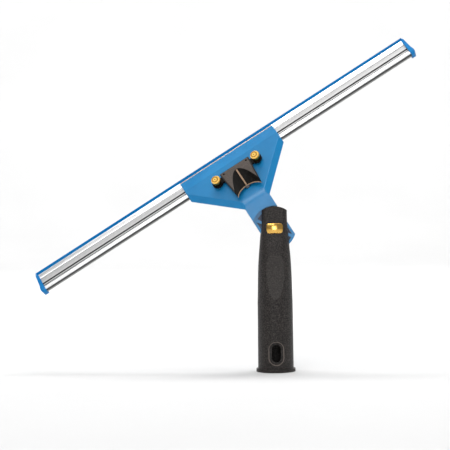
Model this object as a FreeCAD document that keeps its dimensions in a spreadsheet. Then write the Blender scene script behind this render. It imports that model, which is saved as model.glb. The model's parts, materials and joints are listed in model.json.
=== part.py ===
import FreeCAD, Part
import math
import os
import re
import Sketcher

# A window cleaning squeegee with a swivelling head and a quick-release blade channel.
# Frame: +Z up the handle, +Y to the back, origin at the centre of the handle's open lower end.
# Lengths are in millimetres and angles in degrees.

doc = FreeCAD.newDocument("Squeegee")

SIZES = {
    # handle
    "handle_radius": 14.3, "barrel_height": 56, "rim_radius": 15.7, "rim_height": 2.4,
    "top_half_width": 10.7, "top_half_depth": 12.0, "top_corner": 4.5,
    "waist_half_width": 12.3, "grip_half_width": 13.6,
    "pivot_height": 114.6, "arch_radius": 17.4, "fork_half_gap": 6.1, "fork_depth": 17.9,
    "socket_radius": 11.5, "socket_depth": 60, "core_radius": 9.5, "core_top": 91,
    "lock_slot_height": 15.1, "lock_slot_length": 14.1, "lock_slot_width": 7.2,
    "slot_rim_length": 18.4, "slot_rim_width": 11.9, "slot_rim_depth": 2.2,
    "thumb_low": 60.2, "thumb_high": 98.6, "thumb_depth": 1.6,
    # swivel lock
    "button_radius": 6.6, "button_half_height": 3.7, "button_front": 12.3, "window_gap": 0.2,
    "button_dome": 20, "button_edge_round": 0.5, "window_recess": 1.0, "recess_half_height": 4.7,
    "bush_radius": 9.0, "bush_mouth": 7.0, "bush_bore": 7.9, "cone_front": 3.0, "cone_back": 0.6,
    "running_gap": 0.08, "boss_front": 3.0, "cap_back": 11.4, "cap_ear_thickness": 1.8,
    "cap_screw_offset": 11.6, "cap_ear_radius": 3.4, "cap_screw_radius": 1.1, "cap_screw_head": 2.0,
    "cap_screw_length": 5.0, "screw_head_height": 0.75, "cross_length": 2.2, "cross_width": 0.5,
    "cross_depth": 0.4, "spring_seat": 2.4, "spring_floor": 9.0,
    "lock_spring_radius": 4.0, "lock_spring_wire": 0.8, "lock_spring_pitch": 2.2,
    "washer_thickness": 0.5, "washer_inner": 8.0, "washer_outer": 10.0,
    # head: places on the jaw are counted down the slope from the blade's edge, and outwards from
    # the middle plane of the channel
    "rest_swivel": 32.08, "tilt": 30, "edge_back": 24.0, "edge_height": 74.0,
    "head_half_width": 44.4, "face_height": 8.0, "lip_height": 6.3, "jaw_back": 5.6,
    "side_end_height": 54.0, "neck_half_width": 11.45, "neck_start_height": 25.0,
    "neck_front": 10.5, "tongue_half": 5.5, "tongue_radius": 17.2, "shoulder_radius": 17.9,
    "jaw_half_gap": 3.7, "jaw_front_top": 7.1, "jaw_back_top": 6.6, "jaw_floor": 20.6,
    "rib_top": 13.2, "rib_bottom": 14.4, "rib_reach": 2.1,
    "cavity_top": 12.5, "cavity_floor": 32.0, "cavity_ceiling": 6.7, "cavity_half_width": 25.5,
    "cell_depth": 4.0, "cell_inner": 10.3, "cell_outer": 15.3, "cell_half_width": 9.4,
    "cell_rib": 1.6, "cell_rib_angle": 34,
    "band_width": 6.0, "band_drop": 3.3, "bend_round": 14, "cutter_half": 50, "crease_round": 1.5,
    "lip_slope": 3.6, "lip_end": 9.0,
    "back_wall": 2.4, "back_rim": 2.2, "back_cell_top": 28.5, "back_cell_low": 13.5, "back_cell_end": 49,
    # channel and blade
    "blade_length": 355.6, "channel_offset": 5.75, "channel_top": 3.2, "channel_lip": 1.9,
    "channel_crown": 3.3, "channel_flat": 2.7, "groove_top": 12.9,
    "groove_half": 1.7, "bulb_centre": 17.0, "bulb_radius": 3.0, "bulb_bore": 1.9,
    "crown_centre": 7.4, "bead_centre": 7.6, "bead_radius": 2.2, "blade_half": 0.8, "slit_half": 0.95,
    "cap_length": 2.4, "cap_top_length": 1.0, "cap_half": 4.1, "cap_bottom": 20.9, "peg_length": 10,
    "cap_bevel": 1.2, "cap_cover": 1.4, "cup_half": 3.55, "cap_floor": 20.15, "cap_round": 2.5,
    # channel release
    "pin_down": 28.6, "pin_side": 18.5, "pin_top": 17.2, "pin_disc_radius": 3.7,
    "pin_disc_thickness": 2.0, "pin_collar": 3.0, "pin_neck": 2.0, "pin_foot": 1.7, "pin_end": 2.1,
    "clip_groove": 1.3,
    "neck_low": 9.5, "neck_high": 12.7, "flange_low": 8.4,
    "plate_low": 3.3, "plate_high": 4.8, "plate_top": 13.2, "plate_bottom": 31.6, "toe_reach": 2.0,
    "toe_bottom": 14.4, "plate_half_width": 24,
    "clip_thickness": 0.65, "clip_radius": 2.9, "clip_low": 2.55,
    "lever_down": 36.6, "lever_height": 10.6, "lever_rest": 6, "lever_top": 3.4,
    "lever_upper": 13.5, "lever_lower": 16.3, "lever_notch": 8.9, "lever_upper_half": 13.7,
    "lever_lower_half": 11.0, "lever_keel": 1.9, "scoop_depth": 2.9, "scoop_radius": 22, "scoop_start": 9,
    "spine_width": 1.2, "spine_sunk": 0.35, "spine_proud": 1.1, "spine_length": 16.6,
    "ear_radius": 4.4, "ear_hole": 2.6, "ear_thickness": 1.8, "ear_level": 0.25,
    "dimple_radius": 0.8, "lever_corner": 1.6,
    "lug_inner": 8.2, "lug_outer": 10.4, "lug_radius": 2.2, "lever_pin_radius": 1.0,
    "lever_pin_half": 11.4, "lever_spring_down": 43.0, "lever_spring_radius": 2.2,
    "lever_spring_wire": 0.6, "lever_spring_low": 5.6, "lever_spring_length": 5.6,
}

sheet = doc.addObject("Spreadsheet::Sheet", "Sizes")
for row, (alias, number) in enumerate(SIZES.items(), start=1):
    sheet.set(f"A{row}", alias)
    sheet.set(f"B{row}", str(number))
    sheet.setAlias(f"B{row}", alias)
doc.recompute()


def formula(text):
    """The sheet's formula for a text that uses its aliases by name."""
    named = re.sub(r"[a-z][a-z_]+", lambda m: f"Sizes.{m[0]}" if m[0] in SIZES else m[0], str(text))
    return named


def value(text):
    """The number that a formula gives."""
    return float(sheet.evalExpression(formula(text)))


def down_slope(down, out):
    """The (y, z) of a place on the jaw, in the head's own frame, as two formulas."""
    y = f"edge_back - ({down}) * sin(tilt * 1deg) - ({out}) * cos(tilt * 1deg)"
    z = f"edge_height - ({down}) * cos(tilt * 1deg) + ({out}) * sin(tilt * 1deg)"
    return y, z


def vector(x, y, z):
    return FreeCAD.Vector(value(x), value(y), value(z))


def turn(axis, degrees):
    return FreeCAD.Placement(FreeCAD.Vector(), FreeCAD.Rotation(FreeCAD.Vector(*axis), value(degrees)))


def shift(x, y, z):
    return FreeCAD.Placement(vector(x, y, z), FreeCAD.Rotation())


# Three frames: the pivot's, with its origin on the swivel axis; the head's, which is that frame swung
# to the rest angle; and the jaw's, tilted back, with its origin at the middle of the blade's edge.
PIVOT = shift(0, 0, "pivot_height")
HEAD = PIVOT * turn((0, 1, 0), "-rest_swivel")
JAW = HEAD * shift(0, "edge_back", "edge_height") * turn((1, 0, 0), "-tilt")
LEVER = JAW * shift(0, "-lever_height", "-lever_down") * turn((1, 0, 0), "-lever_rest")

PARTS = []


def keep(piece, name, place=None):
    """Name a finished sub-part and put it in its frame."""
    piece.Label = name
    if place is not None:
        piece.Placement = place
    PARTS.append(piece)
    return piece


def new_body(name):
    return doc.addObject("PartDesign::Body", name)


def new_sketch(body, name, plane, offset=0, tilted=False):
    """A sketch on one of the body's own planes; a tilted one lies along the jaw's slope."""
    sketch = body.newObject("Sketcher::SketchObject", name)
    planes = [item for item in body.Origin.OriginFeatures if item.Role == plane]
    sketch.AttachmentSupport = [(planes[0], "")]
    sketch.MapMode = "FlatFace"
    if tilted:
        y, z = down_slope(0, offset)
        sketch.AttachmentOffset = FreeCAD.Placement(
            FreeCAD.Vector(0, value(z), -value(y)), FreeCAD.Rotation(FreeCAD.Vector(1, 0, 0), -1))
        sketch.setExpression("AttachmentOffset.Base.y", formula(z))
        sketch.setExpression("AttachmentOffset.Base.z", formula(f"-({y})"))
        sketch.setExpression("AttachmentOffset.Rotation.Angle", formula("-tilt * 1deg"))
    elif offset != 0:
        sketch.setExpression("AttachmentOffset.Base.z", formula(offset))
    return sketch


def bind(sketch, kind, index, end, text):
    """Bind one coordinate of a sketch's point to the sheet."""
    number = sketch.addConstraint(Sketcher.Constraint(kind, index, end, value(text)))
    sketch.setExpression(f"Constraints[{number}]", formula(text))


def pin_point(sketch, index, end, x, y):
    bind(sketch, "DistanceX", index, end, x)
    bind(sketch, "DistanceY", index, end, y)


def bind_radius(sketch, index, radius):
    number = sketch.addConstraint(Sketcher.Constraint("Radius", index, value(radius)))
    sketch.setExpression(f"Constraints[{number}]", formula(radius))


def polygon(sketch, corners):
    """A closed loop of straight edges through the corners."""
    first = sketch.GeometryCount
    spots = [FreeCAD.Vector(value(x), value(y), 0) for x, y in corners]
    count = len(spots)
    for i in range(count):
        sketch.addGeometry(Part.LineSegment(spots[i], spots[(i + 1) % count]), False)
    for i in range(count):
        follower = first + (i + 1) % count
        sketch.addConstraint(Sketcher.Constraint("Coincident", first + i, 2, follower, 1))
    for i, (x, y) in enumerate(corners):
        pin_point(sketch, first + i, 1, x, y)


def circle(sketch, x, y, radius):
    index = sketch.addGeometry(
        Part.Circle(FreeCAD.Vector(value(x), value(y), 0), FreeCAD.Vector(0, 0, 1), value(radius)), False)
    pin_point(sketch, index, 3, x, y)
    bind_radius(sketch, index, radius)


def rounded_loop(sketch, half_x, half_y, corner, x="0", y="0"):
    """A rounded rectangle about (x, y): four corner arcs joined by four straight edges."""
    centre_x, centre_y = value(x), value(y)
    reach_x, reach_y, r = value(half_x), value(half_y), value(corner)
    first = sketch.GeometryCount
    signs = ((1, 1), (-1, 1), (-1, -1), (1, -1))
    up = FreeCAD.Vector(0, 0, 1)
    for i, (sx, sy) in enumerate(signs):
        middle = FreeCAD.Vector(centre_x + sx * (reach_x - r), centre_y + sy * (reach_y - r), 0)
        start = i * math.pi / 2
        sketch.addGeometry(Part.ArcOfCircle(Part.Circle(middle, up, r), start, start + math.pi / 2), False)
    for i in range(4):
        begin = sketch.getPoint(first + i, 2)
        finish = sketch.getPoint(first + (i + 1) % 4, 1)
        sketch.addGeometry(Part.LineSegment(begin, finish), False)
    for i in range(4):
        sketch.addConstraint(Sketcher.Constraint("Coincident", first + i, 2, first + 4 + i, 1))
        sketch.addConstraint(Sketcher.Constraint("Coincident", first + 4 + i, 2, first + (i + 1) % 4, 1))
    for i, (sx, sy) in enumerate(signs):
        middle_x = f"({x}) + {sx} * ({half_x} - ({corner}))"
        middle_y = f"({y}) + {sy} * ({half_y} - ({corner}))"
        pin_point(sketch, first + i, 3, middle_x, middle_y)
        bind_radius(sketch, first + i, corner)
        side_end, top_end = (1, 2) if i % 2 == 0 else (2, 1)
        bind(sketch, "DistanceY", first + i, side_end, middle_y)
        bind(sketch, "DistanceX", first + i, top_end, middle_x)


def pad(body, sketch, length, both_ways=False, reverse=False):
    feature = body.newObject("PartDesign::Pad", f"{sketch.Name}_pad")
    feature.Profile = sketch
    feature.setExpression("Length", formula(length))
    feature.Midplane = both_ways
    feature.Reversed = reverse
    doc.recompute()
    return feature


def pocket(body, sketch, length=None, both_ways=False, reverse=False):
    """Cut a sketch out of the body; with no length it cuts right through, both ways."""
    before = body.Shape.Volume
    feature = body.newObject("PartDesign::Pocket", f"{sketch.Name}_pocket")
    feature.Profile = sketch
    if length is None:
        feature.Type = "ThroughAll"
        feature.Midplane = True
    else:
        feature.setExpression("Length", formula(length))
        feature.Midplane = both_ways
        feature.Reversed = reverse
    doc.recompute()
    if body.Shape.Volume > before - 1e-3:
        raise RuntimeError(f"{feature.Name} cuts nothing")
    return feature


def revolve(body, sketch, axis="V_Axis"):
    feature = body.newObject("PartDesign::Revolution", f"{sketch.Name}_turned")
    feature.Profile = sketch
    feature.ReferenceAxis = (sketch, [axis])
    feature.Angle = 360
    doc.recompute()
    return feature


def edges_where(shape, test):
    """The names of the edges whose two end points both pass a test."""
    return [f"Edge{i}" for i, edge in enumerate(shape.Edges, start=1)
            if all(test(vertex.Point) for vertex in edge.Vertexes)]


def soften(body, kind, name, edges, size):
    """Fillet or chamfer some edges of a body."""
    feature = body.newObject(f"PartDesign::{kind}", name)
    feature.Base = (feature.BaseFeature, edges)
    feature.setExpression("Radius" if kind == "Fillet" else "Size", formula(size))
    doc.recompute()
    return feature


def ring(name, place, inner, outer, start, thickness):
    """A flat ring about the frame's Y axis."""
    body = new_body(name)
    sketch = new_sketch(body, f"{name}_outline", "XZ_Plane", f"-({start}) - ({thickness})")
    circle(sketch, 0, 0, outer)
    circle(sketch, 0, 0, inner)
    pad(body, sketch, thickness)
    return keep(body, name, place)


def coil(name, place, radius, wire, pitch, length):
    """A compression spring up the frame's Z axis."""
    body = new_body(name)
    sketch = new_sketch(body, f"{name}_wire", "XZ_Plane")
    circle(sketch, radius, f"{wire} / 2", f"{wire} / 2")
    doc.recompute()
    turns = body.newObject("PartDesign::AdditiveHelix", f"{name}_turns")
    turns.Profile = sketch
    turns.ReferenceAxis = (sketch, ["V_Axis"])
    turns.Mode = "pitch-height-angle"
    turns.Angle = 0
    turns.setExpression("Pitch", formula(pitch))
    turns.setExpression("Height", formula(f"{length} - {wire}"))
    doc.recompute()
    return keep(body, name, place)


def half_round_cut(sketch, radius, reach, side, y="0"):
    """What lies outside a half circle, up to a box of the given reach; side is 1 above, -1 below."""
    r, far, level = value(radius), value(reach), value(y)
    centre = FreeCAD.Vector(0, level, 0)
    start = 0 if side > 0 else math.pi
    arc = sketch.addGeometry(
        Part.ArcOfCircle(Part.Circle(centre, FreeCAD.Vector(0, 0, 1), r), start, start + math.pi), False)
    pin_point(sketch, arc, 3, 0, y)
    bind_radius(sketch, arc, radius)
    corners = [(-side * r, 0), (-side * far, 0), (-side * far, side * far),
               (side * far, side * far), (side * far, 0), (side * r, 0)]
    for (x1, y1), (x2, y2) in zip(corners, corners[1:]):
        sketch.addGeometry(Part.LineSegment(FreeCAD.Vector(x1, level + y1, 0),
                                            FreeCAD.Vector(x2, level + y2, 0)), False)
    last = arc + len(corners) - 1
    for line in range(arc, last):
        sketch.addConstraint(Sketcher.Constraint("Coincident", line, 2, line + 1, 1))
    sketch.addConstraint(Sketcher.Constraint("Coincident", last, 2, arc, 1))
    bind(sketch, "DistanceY", arc, 1, y)
    bind(sketch, "DistanceY", arc, 2, y)
    top = f"({y}) + {side} * ({reach})"
    for line, x, level in ((2, -side, y), (3, -side, top), (4, side, top), (5, side, y)):
        pin_point(sketch, arc + line, 1, f"{x} * ({reach})", level)


def double_d(sketch, radius, half_height, y="0"):
    """A circle with a flat above and a flat below."""
    r, flat, level = value(radius), value(half_height), value(y)
    angle = math.asin(flat / r)
    disc = Part.Circle(FreeCAD.Vector(0, level, 0), FreeCAD.Vector(0, 0, 1), r)
    right = sketch.addGeometry(Part.ArcOfCircle(disc, -angle, angle), False)
    left = sketch.addGeometry(Part.ArcOfCircle(disc, math.pi - angle, math.pi + angle), False)
    top = sketch.addGeometry(Part.LineSegment(sketch.getPoint(right, 2), sketch.getPoint(left, 1)), False)
    low = sketch.addGeometry(Part.LineSegment(sketch.getPoint(left, 2), sketch.getPoint(right, 1)), False)
    for arc in (right, left):
        pin_point(sketch, arc, 3, 0, y)
        bind_radius(sketch, arc, radius)
    joins = ((right, 2, top, 1), (top, 2, left, 1), (left, 2, low, 1), (low, 2, right, 1))
    for one, end, two, start in joins:
        sketch.addConstraint(Sketcher.Constraint("Coincident", one, end, two, start))
    for arc, end, sign in ((right, 2, ""), (left, 1, ""), (left, 2, "-"), (right, 1, "-")):
        bind(sketch, "DistanceY", arc, end, f"({y}) + {sign}({half_height})")


# ---- handle -------------------------------------------------------------------------------------

def make_handle():
    """One hollow moulding: a round pole socket below, a fork for the head's tongue above."""
    body = new_body("handle_moulding")
    barrel = new_sketch(body, "barrel", "XZ_Plane")
    polygon(barrel, ((0, 0), ("handle_radius", 0), ("handle_radius - 0.2", "barrel_height"),
                     (0, "barrel_height")))
    revolve(body, barrel)
    stations = (
        ("barrel_height", "handle_radius - 0.2", "handle_radius - 0.2", "handle_radius - 0.5"),
        ("pivot_height - 41", "grip_half_width", "grip_half_width + 0.1", "grip_half_width - 1"),
        ("pivot_height - 19", "waist_half_width", "waist_half_width + 0.5", "top_corner + 4"),
        ("pivot_height - 5", "top_half_width + 0.2", "top_half_depth + 0.1", "top_corner + 1"),
        ("pivot_height + 18", "top_half_width - 0.4", "top_half_depth", "top_corner"),
    )
    sections = []
    for number, (level, half_x, half_y, corner) in enumerate(stations):
        section = new_sketch(body, f"handle_section_{number}", "XY_Plane", level)
        rounded_loop(section, half_x, half_y, corner)
        sections.append(section)
    doc.recompute()
    loft = body.newObject("PartDesign::AdditiveLoft", "handle_loft")
    loft.Profile = sections[0]
    loft.Sections = sections[1:]
    doc.recompute()

    rim = new_sketch(body, "rim", "XY_Plane")
    circle(rim, 0, 0, "rim_radius")
    pad(body, rim, "rim_height")
    socket = new_sketch(body, "pole_socket", "XY_Plane")
    circle(socket, 0, 0, "socket_radius")
    pocket(body, socket, "socket_depth", reverse=True)
    core = new_sketch(body, "core", "XY_Plane")
    circle(core, 0, 0, "core_radius")
    pocket(body, core, "core_top", reverse=True)

    arch = new_sketch(body, "arch", "XZ_Plane")
    half_round_cut(arch, "arch_radius", "arch_radius + 10", 1, "pivot_height")
    pocket(body, arch)
    fork = new_sketch(body, "fork", "YZ_Plane")
    floor, roof = "pivot_height - fork_depth", "pivot_height + arch_radius + 5"
    polygon(fork, (("-fork_half_gap", floor), ("fork_half_gap", floor),
                   ("fork_half_gap", roof), ("-fork_half_gap", roof)))
    pocket(body, fork)

    window = new_sketch(body, "button_window", "XZ_Plane")
    double_d(window, "button_radius + window_gap", "button_half_height + window_gap", "pivot_height")
    pocket(body, window, "top_half_depth + 5", reverse=True)
    recess = new_sketch(body, "window_recess", "XZ_Plane", "top_half_depth - window_recess")
    rounded_loop(recess, "button_radius + window_gap", "recess_half_height", "window_recess", "0",
                 "pivot_height")
    pocket(body, recess, "5", reverse=True)
    bore = new_sketch(body, "cap_bore", "XZ_Plane")
    circle(bore, 0, "pivot_height", "bush_bore")
    pocket(body, bore, "top_half_depth + 5")
    ears = new_sketch(body, "cap_recess", "XZ_Plane", "-(cap_back - cap_ear_thickness)")
    rounded_loop(ears, "cap_ear_radius", "cap_screw_offset + cap_ear_radius", "cap_ear_radius - 0.05",
                 "0", "pivot_height")
    pocket(body, ears, "5")
    holes = new_sketch(body, "cap_screw_holes", "XZ_Plane", "-(cap_back - cap_ear_thickness)")
    for sign in ("+", "-"):
        circle(holes, 0, f"pivot_height {sign} cap_screw_offset", "cap_screw_radius")
    pocket(body, holes, "cap_screw_length - cap_ear_thickness", reverse=True)

    slot = new_sketch(body, "pole_lock_slot", "XZ_Plane")
    rounded_loop(slot, "lock_slot_width / 2", "lock_slot_length / 2", "lock_slot_width / 2 - 0.3",
                 "0", "lock_slot_height")
    pocket(body, slot, "handle_radius + 5", reverse=True)
    slot_rim = new_sketch(body, "slot_rim", "XZ_Plane", "handle_radius - slot_rim_depth")
    rounded_loop(slot_rim, "slot_rim_width / 2", "slot_rim_length / 2", "slot_rim_width / 2 - 0.5",
                 "0", "lock_slot_height")
    pocket(body, slot_rim, "5", reverse=True)
    thumb = new_sketch(body, "thumb_flat", "YZ_Plane")
    half_length = "(thumb_high - thumb_low) / 2"
    radius = f"(({half_length}) * ({half_length}) / (2 * thumb_depth))"
    centre = f"-(grip_half_width + {radius} - thumb_depth + 0.2)"
    circle(thumb, centre, "(thumb_high + thumb_low) / 2", radius)
    pocket(body, thumb)
    return keep(body, "handle_body")


# ---- swivel lock --------------------------------------------------------------------------------

def make_lock_button():
    """Brass push button: its nose can't turn in the handle's window, its cone grips the bushing."""
    body = new_body("button_brass")
    cone = new_sketch(body, "button_cone", "XY_Plane")
    polygon(cone, (
        (0, "-cone_front"),
        ("bush_mouth - running_gap", "-cone_front"),
        ("bush_bore - running_gap", "cone_back"),
        ("lock_spring_radius + 1", "cone_back"),
        ("lock_spring_radius + 1", "-spring_seat"),
        (0, "-spring_seat")))
    revolve(body, cone)
    nose = new_sketch(body, "button_nose", "XZ_Plane", "cone_front - 0.2")
    double_d(nose, "button_radius", "button_half_height")
    pad(body, nose, "button_front - cone_front + 0.2")
    front = -value("button_front")
    soften(body, "Fillet", "button_edge", edges_where(body.Shape, lambda p: abs(p.y - front) < 0.01),
           "button_edge_round")
    ball = doc.addObject("Part::Sphere", "button_ball")
    ball.setExpression("Radius", formula("button_dome"))
    ball.Placement = shift(0, "button_dome - button_front", 0)
    domed = doc.addObject("Part::MultiCommon", "domed_button")
    domed.Shapes = [body, ball]
    return keep(domed, "lock_button", PIVOT)


def make_swivel_cap():
    """Closes the spring chamber from behind; its boss carries the back of the bushing."""
    body = new_body("cap_moulding")
    boss = new_sketch(body, "cap_boss", "XZ_Plane", "-cap_back")
    circle(boss, 0, 0, "bush_bore - running_gap")
    pad(body, boss, "cap_back - boss_front")
    ears = new_sketch(body, "cap_ears", "XZ_Plane", "-cap_back")
    rounded_loop(ears, "cap_ear_radius - 0.1", "cap_screw_offset + cap_ear_radius - 0.1",
                 "cap_ear_radius - 0.15")
    pad(body, ears, "cap_ear_thickness")
    chamber = new_sketch(body, "cap_chamber", "XZ_Plane", "-boss_front")
    circle(chamber, 0, 0, "lock_spring_radius + 1")
    pocket(body, chamber, "spring_floor - boss_front")
    holes = new_sketch(body, "cap_holes", "XZ_Plane", "-cap_back")
    seats = new_sketch(body, "cap_screw_seats", "XZ_Plane", "-(cap_back - 0.8)")
    for sign in ("+", "-"):
        circle(holes, 0, f"{sign}cap_screw_offset", "cap_screw_radius")
        circle(seats, 0, f"{sign}cap_screw_offset", "cap_screw_head")
    pocket(body, holes)
    pocket(body, seats, "2")
    return keep(body, "swivel_cap", PIVOT)


def make_cap_screws():
    """Two pan-head screws that hold the swivel cap, each with a cross recess."""
    screws = []
    for side, sign in (("upper", 1), ("lower", -1)):
        shank = doc.addObject("Part::Cylinder", f"{side}_cap_shank")
        shank.setExpression("Radius", formula("cap_screw_radius"))
        shank.setExpression("Height", formula("cap_screw_length - 0.9"))
        head = doc.addObject("Part::Cylinder", f"{side}_cap_head")
        head.setExpression("Radius", formula("cap_screw_head - 0.1"))
        head.setExpression("Height", formula("screw_head_height"))
        head.Placement = shift(0, 0, "-screw_head_height")
        whole = doc.addObject("Part::MultiFuse", f"{side}_cap_blank")
        whole.Shapes = [shank, head]
        bars = []
        slits = (("a", "cross_length", "cross_width"), ("b", "cross_width", "cross_length"))
        for letter, wide, tall in slits:
            bar = doc.addObject("Part::Box", f"{side}_cap_recess_{letter}")
            bar.setExpression("Length", formula(wide))
            bar.setExpression("Width", formula(tall))
            bar.setExpression("Height", formula("cross_depth"))
            bar.Placement = shift(f"-{wide} / 2", f"-{tall} / 2", "-screw_head_height")
            bars.append(bar)
        screw = doc.addObject("Part::Cut", f"{side}_cap_screw")
        cross = doc.addObject("Part::MultiFuse", f"{side}_cap_cross")
        cross.Shapes = bars
        screw.Base = whole
        screw.Tool = cross
        screw.Placement = shift(0, "cap_back - 0.8", f"{sign} * cap_screw_offset") * turn((1, 0, 0), 90)
        screws.append(screw)
    pair = doc.addObject("Part::Compound", "cap_screw_pair")
    pair.Links = screws
    return keep(pair, "cap_screws", PIVOT)


def make_bushing():
    """Steel bushing pressed into the tongue, with the cone that the button grips."""
    body = new_body("bushing_steel")
    wall = new_sketch(body, "bushing_wall", "XY_Plane")
    polygon(wall, (
        ("bush_mouth", "-tongue_half"),
        ("bush_radius", "-tongue_half"),
        ("bush_radius", "tongue_half"),
        ("bush_bore", "tongue_half"),
        ("bush_bore", "cone_back"),
        ("bush_mouth", "-cone_front")))
    revolve(body, wall)
    return keep(body, "tongue_bushing", HEAD)


# ---- head ---------------------------------------------------------------------------------------

def make_head():
    """The blue moulding: channel jaw and face, tilted back, then the neck and the swivel tongue."""
    body = new_body("head_moulding")
    side = new_sketch(body, "side_view", "YZ_Plane")
    bend = "(edge_back + neck_front - face_height * cos(tilt * 1deg)) / sin(tilt * 1deg)"
    heel = "(edge_back - tongue_half + jaw_back * cos(tilt * 1deg)) / sin(tilt * 1deg)"
    polygon(side, (
        down_slope("jaw_front_top", "lip_height"),
        down_slope("jaw_front_top + lip_slope", "lip_height + 0.6"),
        down_slope("jaw_front_top + lip_end", "face_height"),
        ("-neck_front", down_slope(bend, "face_height")[1]),
        ("-neck_front", 5),
        ("-tongue_half", 5),
        ("-tongue_half", "-tongue_radius - 1"),
        ("tongue_half", "-tongue_radius - 1"),
        ("tongue_half", down_slope(heel, "-jaw_back")[1]),
        down_slope("jaw_back_top", "-jaw_back")))
    pad(body, side, "2 * head_half_width", both_ways=True)
    bend_place = FreeCAD.Vector(0, -value("neck_front"), value(down_slope(bend, "face_height")[1]))
    bend_edge = edges_where(body.Shape,
                            lambda p: abs(p.y - bend_place.y) + abs(p.z - bend_place.z) < 0.01)
    soften(body, "Fillet", "bend_fillet", bend_edge, "bend_round")

    outline = new_sketch(body, "front_outline", "XZ_Plane")
    for sign in ("", "-"):
        polygon(outline, (
            (f"{sign}head_half_width", "side_end_height"),
            (f"{sign}(head_half_width + 5)", "side_end_height"),
            (f"{sign}(head_half_width + 5)", "-tongue_radius - 5"),
            (f"{sign}neck_half_width", "-tongue_radius - 5"),
            (f"{sign}neck_half_width", "neck_start_height")))
    pocket(body, outline)
    tip = new_sketch(body, "tongue_tip", "XZ_Plane")
    half_round_cut(tip, "tongue_radius", "tongue_radius + 10", -1)
    pocket(body, tip)
    shoulder = new_sketch(body, "shoulder", "XZ_Plane", "tongue_half")
    circle(shoulder, 0, 0, "shoulder_radius")
    pocket(body, shoulder, "neck_front", reverse=True)

    lugs = ("lug_inner", "-lug_outer")
    for number, start in enumerate(lugs):
        post = new_sketch(body, f"lug_post_{number}", "YZ_Plane", start)
        polygon(post, (
            down_slope("lever_down - lug_radius", "face_height - 0.5"),
            down_slope("lever_down + lug_radius", "face_height - 0.5"),
            down_slope("lever_down + lug_radius", "lever_height"),
            down_slope("lever_down - lug_radius", "lever_height")))
        pad(body, post, "lug_outer - lug_inner")
        crown = new_sketch(body, f"lug_crown_{number}", "YZ_Plane", start)
        circle(crown, *down_slope("lever_down", "lever_height"), "lug_radius")
        pad(body, crown, "lug_outer - lug_inner")
    pin_bore = new_sketch(body, "lever_pin_bore", "YZ_Plane")
    circle(pin_bore, *down_slope("lever_down", "lever_height"), "lever_pin_radius")
    pocket(body, pin_bore)

    slot = new_sketch(body, "channel_slot", "YZ_Plane")
    polygon(slot, (
        down_slope(0, "jaw_half_gap"),
        down_slope("jaw_floor", "jaw_half_gap"),
        down_slope("jaw_floor", "-jaw_half_gap"),
        down_slope("rib_bottom", "-jaw_half_gap"),
        down_slope("rib_bottom", "-rib_reach"),
        down_slope("rib_top", "-rib_reach"),
        down_slope("rib_top", "-jaw_half_gap"),
        down_slope(0, "-jaw_half_gap")))
    pocket(body, slot)
    cavity = new_sketch(body, "clamp_cavity", "YZ_Plane")
    polygon(cavity, (
        down_slope("cavity_top", "jaw_half_gap - 0.1"),
        down_slope("cavity_top", "cavity_ceiling"),
        down_slope("cavity_floor", "cavity_ceiling"),
        down_slope("cavity_floor", "pin_end - 0.5"),
        down_slope("jaw_floor - 0.1", "pin_end - 0.5"),
        down_slope("jaw_floor - 0.1", "jaw_half_gap - 0.1")))
    pocket(body, cavity, "2 * cavity_half_width", both_ways=True)
    bores = new_sketch(body, "pin_bores", "XZ_Plane", "face_height + 1", tilted=True)
    for sign in ("", "-"):
        circle(bores, f"{sign}pin_side", "-pin_down", "pin_neck + running_gap")
    pocket(body, bores, "face_height + 1 - cavity_ceiling + 0.5")
    well = new_sketch(body, "lever_spring_well", "XZ_Plane", "face_height + 1", tilted=True)
    circle(well, 0, "-lever_spring_down", "lever_spring_radius + 0.8")
    pocket(body, well, "face_height + 1 - lever_spring_low")
    backs = new_sketch(body, "back_cells", "XZ_Plane", "-(jaw_back + 6)", tilted=True)
    for sign in ("", "-"):
        polygon(backs, (
            (f"{sign}(lever_spring_radius + 2)", "-(cavity_floor + back_rim)"),
            (f"{sign}back_cell_top", "-(cavity_floor + back_rim)"),
            (f"{sign}back_cell_low", "-back_cell_end"),
            (f"{sign}(lever_spring_radius + 2)", "-back_cell_end")))
    pocket(body, backs, "jaw_back + 6 + face_height - back_wall", reverse=True)

    bore = new_sketch(body, "bushing_bore", "XZ_Plane")
    circle(bore, 0, 0, "bush_radius")
    pocket(body, bore)
    for face, start, flip in (("front", "tongue_half", False), ("back", "-tongue_half", True)):
        cells = new_sketch(body, f"{face}_cells", "XZ_Plane", start)
        for up in (1, -1):
            for sign in (1, -1):
                side_cell(cells, sign, up)
                middle_cell(cells, sign, up)
        pocket(body, cells, "cell_depth", reverse=flip)

    bands = doc.addObject("Part::MultiFuse", "side_bands")
    bands.Shapes = [side_band("left", -1), side_band("right", 1)]
    head = doc.addObject("Part::Cut", "banded_head")
    head.Base = body
    head.Tool = bands
    doc.recompute()
    rounded = doc.addObject("Part::Fillet", "rounded_head")
    rounded.Base = head
    radius = value("crease_round")
    rounded.Edges = [(number, radius, radius) for number in creases(head.Shape)]
    return keep(rounded, "swivel_head", HEAD)


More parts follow.
